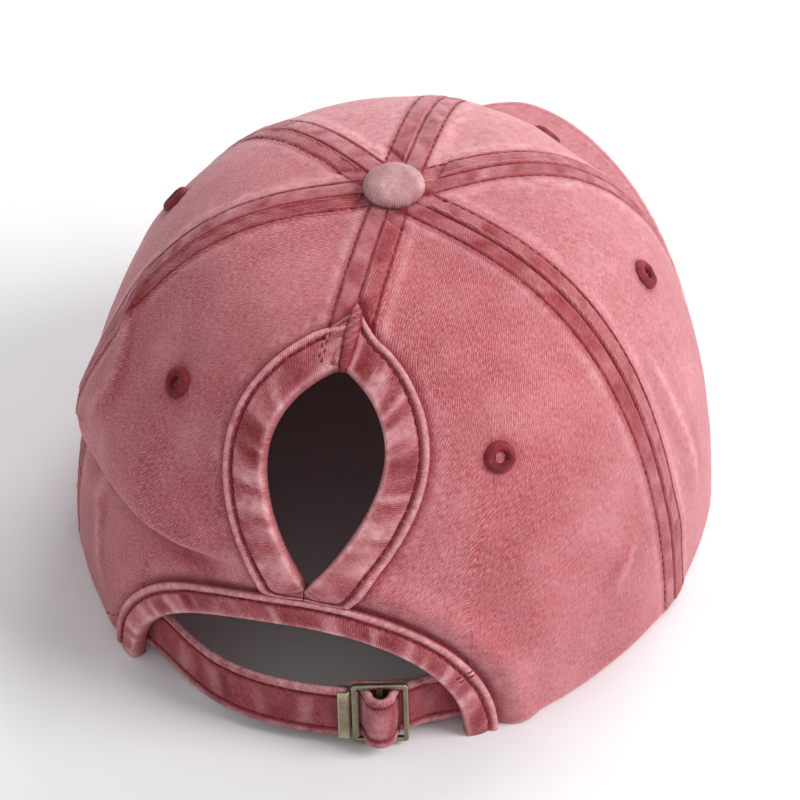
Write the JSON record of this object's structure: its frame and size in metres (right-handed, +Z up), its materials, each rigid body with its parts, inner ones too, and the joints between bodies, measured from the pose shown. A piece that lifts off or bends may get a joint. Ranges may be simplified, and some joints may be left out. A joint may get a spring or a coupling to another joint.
{
  "type": "ponytail baseball cap",
  "caption": "Soft panelled cap in washed rose cotton twill, with a curved peak, a covered button, an almond ponytail hole in the back seam and a back arch over a strap with a metal buckle.",
  "frame": {"origin": "middle of the whole box, on the surface that the cap rests on", "axes": "+Z up, +Y towards the back with the ponytail hole, -Y towards the peak, -X towards the wearer's right"},
  "size_m": [0.1758, 0.2636, 0.1126],
  "materials": {
    "washed_twill": "washed cotton twill, worn paler on raised edges",
    "binding_tape": "folded twill tape, mottled by washing",
    "strap_twill": "darker folded twill strap with worn rope-like edges",
    "thread": "dense crimson thread, slight sheen",
    "inner_band": "plain cotton band",
    "aged_brass": "antique brass plate, dull and slightly worn at the edges"
  },
  "bodies": {
    "root": {"panel_front_left": "washed_twill", "panel_front_right": "washed_twill", "panel_side_left": "washed_twill", "panel_side_right": "washed_twill", "panel_back_left": "washed_twill", "panel_back_right": "washed_twill", "crown_button": "washed_twill", "peak": "washed_twill", "eyelet_front_left": "thread", "eyelet_front_right": "thread", "eyelet_side_left": "thread", "eyelet_side_right": "thread", "eyelet_back_left": "thread", "eyelet_back_right": "thread", "hole_binding_left": "binding_tape", "hole_binding_right": "binding_tape", "arch_binding": "binding_tape", "strap_left": "strap_twill", "strap_right": "strap_twill", "buckle_frame": "aged_brass", "buckle_clamp": "aged_brass", "sweatband": "inner_band"}
  },
  "joints": []
}
